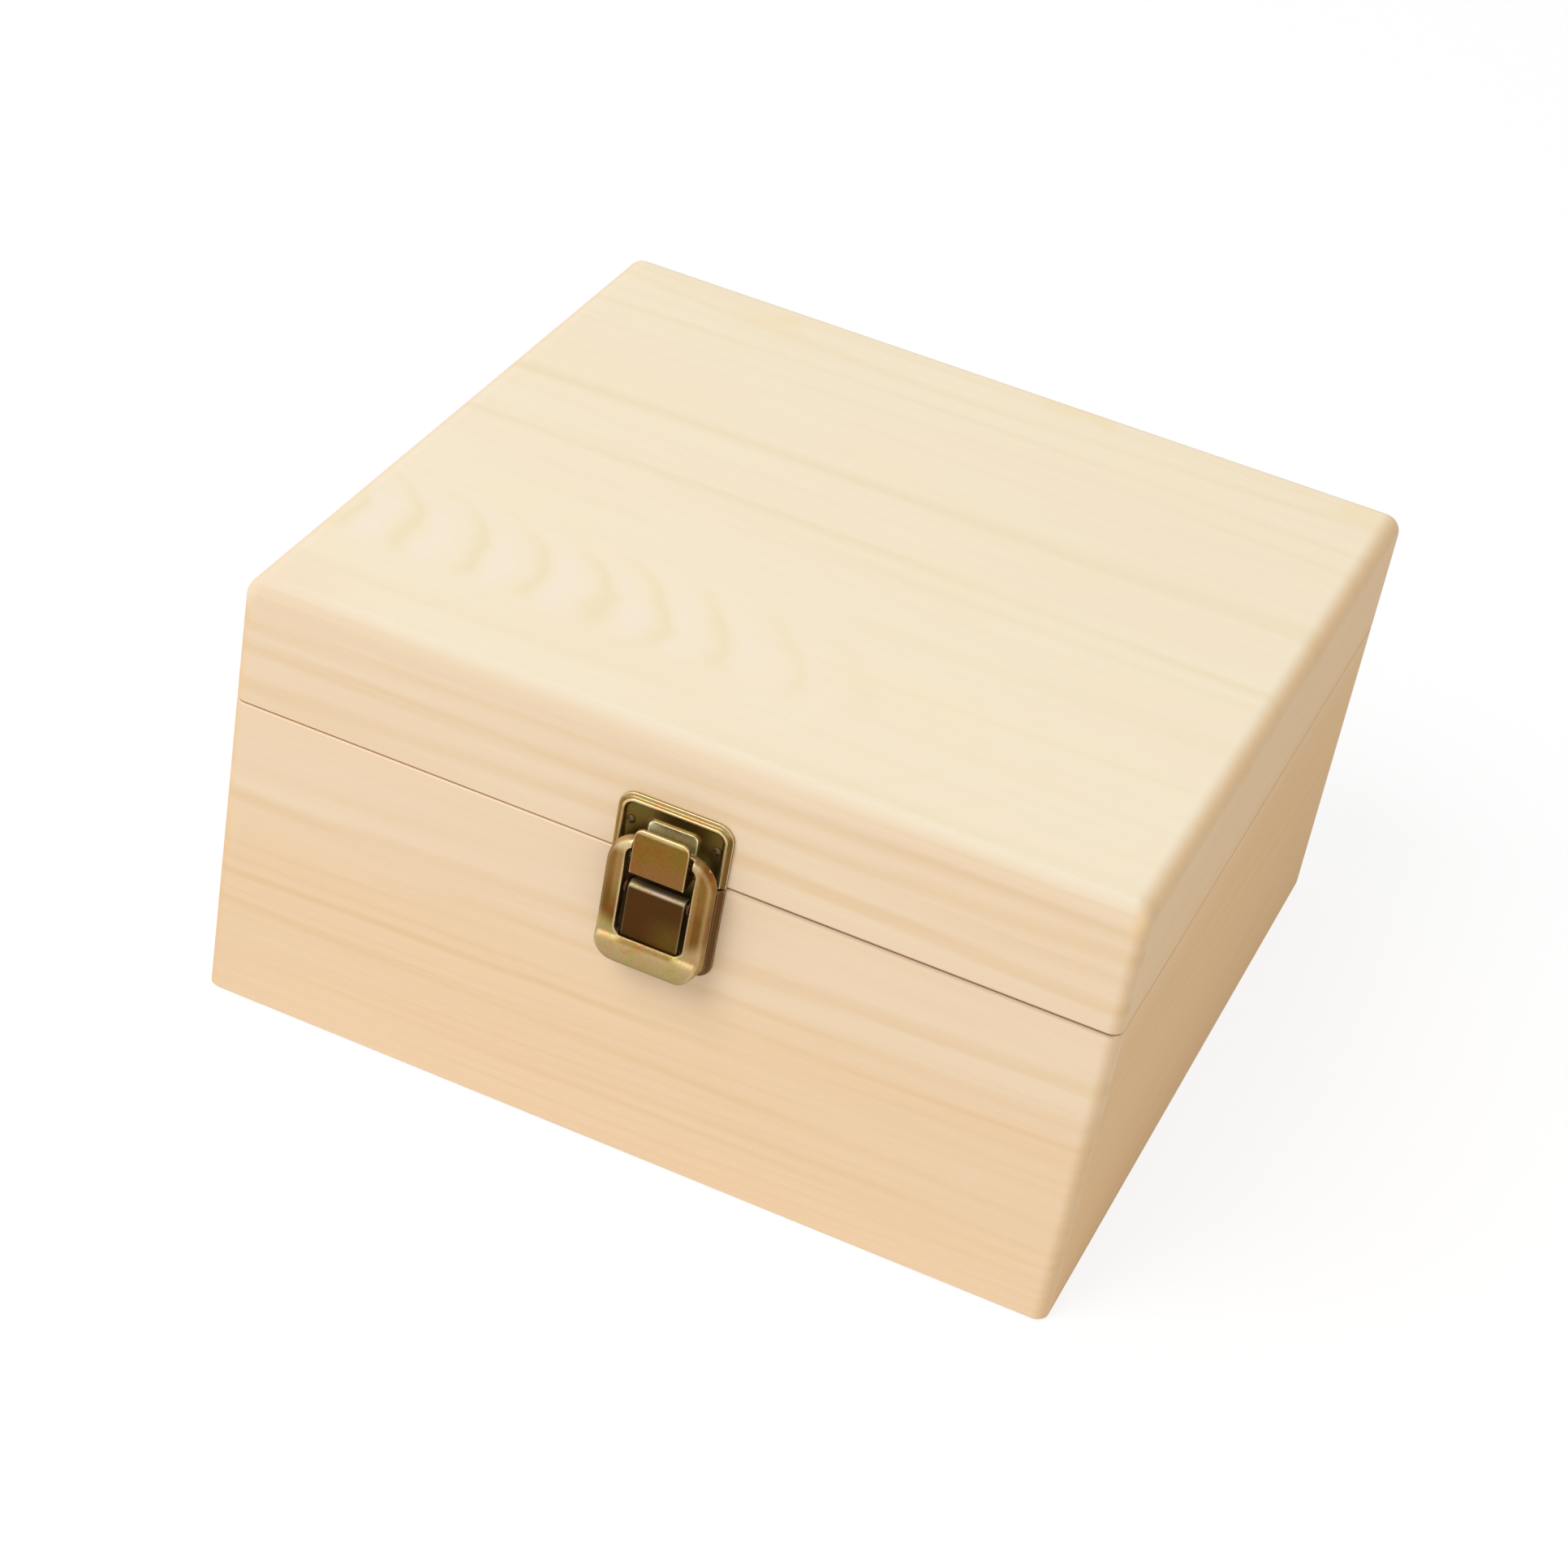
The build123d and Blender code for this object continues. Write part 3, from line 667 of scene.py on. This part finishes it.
def round_corners(piece):
    """Draws the lower corners of the ring in and up, as the cast ring is rounder there."""
    for vert in piece.data.vertices:
        from_middle = vert.co.x - latch_middle
        down = min(max((seam + CORNER_START - vert.co.z) / (CORNER_START - CORNER_END), 0.0), 1.0)
        out = min(max((abs(from_middle) - CORNER_INNER) / (CORNER_OUTER - CORNER_INNER), 0.0), 1.0)
        vert.co.x -= CORNER_GAIN * down * down * out * out * (1 if from_middle > 0 else -1)
        vert.co.z += CORNER_GAIN * down * out ** 3


def solids_of(mesh):
    """The corners of each separate solid of a mesh, in order from left to right and then up."""
    work = bmesh.new()
    work.from_mesh(mesh)
    bmesh.ops.remove_doubles(work, verts=work.verts, dist=WELD)
    islands = []
    left = set(work.verts)
    while left:
        found = {left.pop()}
        edge_of = list(found)
        while edge_of:
            vert = edge_of.pop()
            for link in vert.link_edges:
                other = link.other_vert(vert)
                if other in left:
                    left.discard(other)
                    found.add(other)
                    edge_of.append(other)
        islands.append([vert.co.copy() for vert in found])
    work.free()
    return sorted(islands, key=lambda corners: (round(sum(c.x for c in corners), 6),
                                                round(sum(c.z for c in corners), 6)))


def turned_nails(node, name, body, material, outwards):
    """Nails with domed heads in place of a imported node: each solid of the node gives one nail."""
    shape = bmesh.new()
    for corners in solids_of(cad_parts[node].data):
        xs = [c.x for c in corners]
        zs = [c.z for c in corners]
        depths = [c.y * outwards for c in corners]
        axis_x = (min(xs) + max(xs)) / 2
        axis_z = (min(zs) + max(zs)) / 2
        head_top = max(depths)
        tip = min(depths)
        sheet = head_top - NAIL_RISE
        rings = []
        for radius, depth in nail_profile(sheet, head_top, tip):
            ring = []
            for turn in range(NAIL_SIDES):
                angle = 2 * pi * turn / NAIL_SIDES
                corner = (axis_x + radius * cos(angle), depth * outwards, axis_z + radius * sin(angle))
                ring.append(shape.verts.new(corner))
            rings.append(ring)
        for one, two in zip(rings, rings[1:]):
            for turn in range(NAIL_SIDES):
                after = (turn + 1) % NAIL_SIDES
                shape.faces.new((one[turn], one[after], two[after], two[turn]))
        shape.faces.new(rings[0])
        shape.faces.new(list(reversed(rings[-1])))
    bmesh.ops.recalc_face_normals(shape, faces=shape.faces)
    mesh = bpy.data.meshes.new(name)
    shape.to_mesh(mesh)
    shape.free()
    piece = add_piece(name, mesh, material)
    for polygon in mesh.polygons:
        polygon.use_smooth = True
    stand_for(piece, node, body)


def nail_profile(sheet, head_top, tip):
    """Radius and depth along one nail, from the middle of its dome to its point."""
    rise = head_top - sheet
    dome = [(NAIL_HEAD * sin(angle), sheet + rise * cos(angle))
            for angle in [radians(DOME_START + (90 - DOME_START) * share / DOME_STEPS)
                          for share in range(DOME_STEPS + 1)]]
    return dome + [(NAIL_HEAD * NAIL_UNDER, sheet), (NAIL_SHANK, sheet),
                   (NAIL_SHANK, tip + NAIL_POINT), (NAIL_SHANK * NAIL_TIP, tip)]


def clothe(node, material):
    """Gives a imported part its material."""
    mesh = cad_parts[node].data
    mesh.materials.clear()
    mesh.materials.append(material)


def make_camera():
    data = bpy.data.cameras.new("camera")
    data.lens = CAMERA_LENS
    data.sensor_width = CAMERA_SENSOR
    data.sensor_fit = "HORIZONTAL"
    camera = bpy.data.objects.new("camera", data)
    bpy.context.scene.collection.objects.link(camera)
    camera.location = CAMERA_PLACE
    camera.rotation_euler = [radians(turn) for turn in CAMERA_TURN]
    bpy.context.scene.camera = camera


def seen_or_mirrored(tree):
    """1 where the camera looks, directly or in a mirror or through glass, and 0 for the light that falls."""
    path = tree.nodes.new("ShaderNodeLightPath")
    first = tree.nodes.new("ShaderNodeMath")
    first.operation = "MAXIMUM"
    tree.links.new(path.outputs["Is Camera Ray"], first.inputs[0])
    tree.links.new(path.outputs["Is Glossy Ray"], first.inputs[1])
    second = tree.nodes.new("ShaderNodeMath")
    second.operation = "MAXIMUM"
    tree.links.new(first.outputs[0], second.inputs[0])
    tree.links.new(path.outputs["Is Transmission Ray"], second.inputs[1])
    return second.outputs[0]


def make_world():
    world = bpy.data.worlds.new("studio")
    bpy.context.scene.world = world
    world.use_nodes = True
    tree = world.node_tree
    tree.nodes.clear()
    output = tree.nodes.new("ShaderNodeOutputWorld")
    background = tree.nodes.new("ShaderNodeBackground")
    background.inputs["Color"].default_value = (1, 1, 1, 1)
    strength = tree.nodes.new("ShaderNodeMath")
    strength.operation = "MULTIPLY_ADD"
    tree.links.new(seen_or_mirrored(tree), strength.inputs[0])
    strength.inputs[1].default_value = 1.0 - SKY_LIGHT
    strength.inputs[2].default_value = SKY_LIGHT
    tree.links.new(strength.outputs[0], background.inputs["Strength"])
    tree.links.new(background.outputs[0], output.inputs["Surface"])


def make_floor():
    bpy.ops.mesh.primitive_plane_add(size=FLOOR_SIZE, location=(0, 0, 0))
    floor = bpy.context.object
    floor.name = "floor"
    nodes = Nodes("pale_floor")
    tree = nodes.tree
    falling = tree.nodes.new("ShaderNodeBsdfDiffuse")
    falling.inputs["Color"].default_value = (FLOOR_BOUNCE, FLOOR_BOUNCE, FLOOR_BOUNCE, 1)
    shadowed = tree.nodes.new("ShaderNodeBsdfDiffuse")
    shadowed.inputs["Color"].default_value = (FLOOR_SHADOW, FLOOR_SHADOW, FLOOR_SHADOW, 1)
    glow = tree.nodes.new("ShaderNodeEmission")
    glow.inputs["Strength"].default_value = FLOOR_GLOW
    seen = tree.nodes.new("ShaderNodeAddShader")
    nodes.link(shadowed.outputs[0], seen.inputs[0])
    nodes.link(glow.outputs[0], seen.inputs[1])
    mixer = tree.nodes.new("ShaderNodeMixShader")
    nodes.link(seen_or_mirrored(tree), mixer.inputs[0])
    nodes.link(falling.outputs[0], mixer.inputs[1])
    nodes.link(seen.outputs[0], mixer.inputs[2])
    nodes.link(mixer.outputs[0], nodes.output.inputs["Surface"])
    floor.data.materials.append(nodes.material)


def make_lamp(name, place, size, power):
    data = bpy.data.lights.new(name, "AREA")
    data.shape = "DISK"
    data.size = size
    data.energy = power
    lamp = bpy.data.objects.new(name, data)
    bpy.context.scene.collection.objects.link(lamp)
    lamp.location = place
    aim = Vector(KEY_AIM) - Vector(place)
    lamp.rotation_euler = aim.to_track_quat("-Z", "Y").to_euler()


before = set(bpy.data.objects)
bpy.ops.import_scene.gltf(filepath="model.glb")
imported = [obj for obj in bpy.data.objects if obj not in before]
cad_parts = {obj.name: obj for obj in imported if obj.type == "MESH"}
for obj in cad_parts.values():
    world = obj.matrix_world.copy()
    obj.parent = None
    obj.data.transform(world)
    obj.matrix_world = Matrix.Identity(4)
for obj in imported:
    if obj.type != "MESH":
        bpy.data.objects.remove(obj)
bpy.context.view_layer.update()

make_camera()
make_world()
make_floor()
make_lamp("key_lamp", KEY_PLACE, KEY_SIZE, KEY_POWER)

low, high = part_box("front_board")
front_face = low.y
left_face = low.x
right_face = high.x
back_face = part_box("back_board")[1].y
top_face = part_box("lid_top")[1].z
plate_low, plate_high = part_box("catch_plate")
latch_middle = (plate_low.x + plate_high.x) / 2
seam = (high.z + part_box("lid_front_rail")[0].z) / 2

front_pine = long_pine("pine_front", FRONT_PINE, FRONT_BOARD, front_face, 3.1, FRONT_BANDS, 0.55)
back_pine = long_pine("pine_back", FRONT_PINE, BACK_BOARD, back_face, 21.7)
left_pine = side_pine("pine_left", FRONT_PINE, SIDE_BOARD, left_face, 33.3, FRONT_WARM)
# The right board and rail take the pine with painted warm shade
right_pine = side_pine("pine_right", SIDE_PINE_PAINTED_SHADE, SIDE_BOARD, right_face, 47.9, SIDE_WARM)
lid_pine = top_pine("pine_top", 12.4, 3.1)
panel_pine = long_pine("pine_panel", PANEL_PINE, BACK_BOARD, back_face, 60.2)
for node, material in (("front_board", front_pine), ("lid_front_rail", front_pine),
                       ("back_board", back_pine), ("lid_back_rail", back_pine),
                       ("left_board", left_pine), ("lid_left_rail", left_pine),
                       ("right_board", right_pine), ("lid_right_rail", right_pine),
                       ("lid_top", lid_pine), ("bottom_panel", panel_pine)):
    clothe(node, material)

# Zones of the latch's brass, in millimetres: its own colours, and painted highlights and painted shade
inside_rim = (("x", (-12.3, -11.5)), ("x", (12.3, 11.5)))
rim = (("out", (1.35, 1.65)), ("out", (3.0, 2.4)))
catch_zones = (
    (RECESS_OLIVE_AND_SHADE, 0.95, (("out", (1.25, 0.95)), ("z", (14.2, 13.4)), *inside_rim)),
    # The pad is painted near white: painted light against the hook's shadow on it
    (PAD_PAINTED_LIGHT, 0.95, (("out", (1.15, 1.4)), ("out", (2.2, 1.8)), ("x", (-6.9, -6.1)), ("x", (6.9, 6.1)),
                       ("z", (12.6, 11.6)))),
    # Painted shade dims the highlight on the pad's top edge
    (RECESS_OLIVE_AND_SHADE, 0.70, (("out", (1.1, 1.3)), ("out", (2.4, 2.0)), ("z", (10.2, 10.7)),
                          ("z", (12.6, 11.8)))),
    (FLANGE_OLIVE, 0.85, (("out", (1.25, 0.95)), ("z", (13.2, 14.0)))),
    (RIM_BROWN, 0.90, (("out", (1.25, 0.95)), ("x", (11.6, 12.3)), ("z", (13.6, 12.4)))),
    # Painted highlight and rubbed brass on the top of the rim, which faces the lamp
    (BRASS_WEAR_AND_HIGHLIGHT, 0.50, (("z", (11.0, 12.8)), *rim)),
    (RIM_BROWN, 0.70, (("x", (10.0, 11.6)), ("z", (13.2, 11.4)), *rim)),
    (HOOK_BRASS, 0.95, (("out", (3.2, 4.0)),)),
    (HOOK_RED, 0.60, (("out", (5.0, 6.0)), ("z", (5.2, 3.2)))),
    # Painted shade on the hook's sides and back, behind its face
    (BRASS_PATINA_AND_SHADE, 0.75, (("out", (2.0, 2.6)), ("out", (6.6, 6.0)), ("z", (10.9, 10.2)))),
    # Painted highlight and rubbed brass along the hook's bent top edge
    (BRASS_WEAR_AND_HIGHLIGHT, 0.60, (("out", (5.0, 6.0)), ("z", (10.4, 11.3)))),
)
pad_edge = (("out", (1.15, 1.4)), ("out", (2.8, 2.4)), ("x", (-7.6, -6.9)), ("x", (7.6, 6.9)),
            ("z", (13.2, 12.4)))
ear_edges = (("out", (2.2, 3.0)),)
base_zones = (
    (RECESS_OLIVE_AND_SHADE, 0.95, (("out", (1.25, 0.95)), ("z", (-23.2, -22.4)), *inside_rim)),
    # Painted shade on the base plate's raised parts, deeper downward under the ring
    (BRASS_PATINA_AND_SHADE, 0.35, (("out", (1.1, 1.5)), ("z", (-4.0, -12.0)))),
    # Painted shade on the ears behind the ring and lever
    (BRASS_PATINA_AND_SHADE, 0.90, (("out", (2.2, 3.0)), ("x", (-9.4, -8.8)), ("x", (9.4, 8.8)))),
)
ring_zones = (
    # Painted shade and dark reflection on the ring's lower limbs
    (LIMB_PAINTED_SHADE, 0.85, (("z", (-1.0, -8.0)),)),
    # Painted light on the ring's limb bevels and right shoulder
    (LIMB_PAINTED_LIGHT, 0.30, (("x", (-10.4, -9.6)), ("x", (-7.6, -8.4)), ("z", (-13.0, -4.0)))),
    (LIMB_PAINTED_LIGHT, 0.30, (("x", (8.0, 8.4)), ("x", (9.8, 9.0)))),
    (LIMB_PAINTED_LIGHT, 0.30, (("x", (10.9, 11.8)), ("z", (8.0, 3.0)))),
    # Painted highlights on the ring's rounded top corners
    (BRASS_WEAR_AND_HIGHLIGHT, 0.62, (("z", (3.2, 5.8)), ("x", (-5.5, -8.0)))),
    (BRASS_WEAR_AND_HIGHLIGHT, 0.32, (("z", (1.6, 3.6)), ("x", (5.8, 7.2)), ("x", (9.4, 8.0)))),
    # Painted light on the bottom bar
    (BAR_PAINTED_LIGHT, 0.95, (("curve", (-14.6, -19.2)),)),
    # Painted shade on the bar's recessed top edge and its lower part
    (BAR_PAINTED_SHADE, 0.80, (("z", (-16.6, -17.2)), ("z", (-19.0, -18.0)), ("x", (-8.0, -5.0)),
                       ("x", (8.0, 5.0)))),
    (BAR_PAINTED_SHADE, 0.25, (("z", (-21.8, -24.4)),)),
)
link_zones = (
    # Painted highlight on the lever's rolled top
    (LINK_PAINTED_HIGHLIGHT, 0.95, (("z", (-4.9, -4.3)),)),
    (LINK_OLIVE, 0.50, (("x", (-3.0, 5.0)), ("z", (-8.0, -14.0)))),
)
catch_brass = brass("brass_catch", LATCH_BRASS, 0.32, catch_zones, pad_edge, mottle=1.0)
# The base plate's brass is painted dark for its shade
base_brass = brass("brass_base", BASE_BRASS_SHADED, 0.38, base_zones, ear_edges, wear=0.25, patina=0.5, metal=0.6)
ring_brass = brass("brass_ring", RING_BRASS, 0.34, ring_zones, mottle=1.0, edges=(0.505, 0.550))
# The lever strip's brass is painted dark for its shade
link_brass = brass("brass_link", LINK_BROWN_SHADED, 0.36, link_zones, wear=0.35, mottle=0.9, metal=0.85)
hinge_brass = brass("brass_hinge", HINGE_BRASS, 0.34)
pin_brass = brass("brass_pin", PIN_BROWN, 0.36, wear=0.1, mottle=0.3)
nail_brass = brass("brass_nail", NAIL_BROWN, 0.48, wear=0.1, mottle=0.25)
ring = cast("latch_ring", "ring_casting", "ring", ring_brass, RING_GRAIN, RING_ROUNDS)
round_corners(ring)
cast("catch_plate", "catch_pressing", "lid", catch_brass, PLATE_GRAIN, PLATE_ROUNDS)
cast("latch_base_plate", "base_pressing", "box", base_brass, PLATE_GRAIN, PLATE_ROUNDS)
cast("latch_link", "lever_strip", "lever", link_brass, PLATE_GRAIN, PLATE_ROUNDS)
for side in ("left", "right"):
    for body in ("box", "lid"):
        leaf = f"hinge_{side}_{body}"
        cast(leaf + "_leaf", leaf + "_pressing", body, hinge_brass, HINGE_GRAIN, PLATE_ROUNDS)
turned_nails("catch_nails", "catch_nail_heads", "lid", nail_brass, -1)
turned_nails("base_nails", "base_nail_heads", "box", nail_brass, -1)
turned_nails("hinge_lid_nails", "hinge_lid_nail_heads", "lid", nail_brass, 1)
turned_nails("hinge_box_nails", "hinge_box_nail_heads", "box", nail_brass, 1)
for node in ("hinge_left_pin", "hinge_right_pin"):
    clothe(node, hinge_brass)
for node in ("link_pin", "ring_pin"):
    clothe(node, pin_brass)

bpy.context.scene.view_settings.view_transform = "Standard"
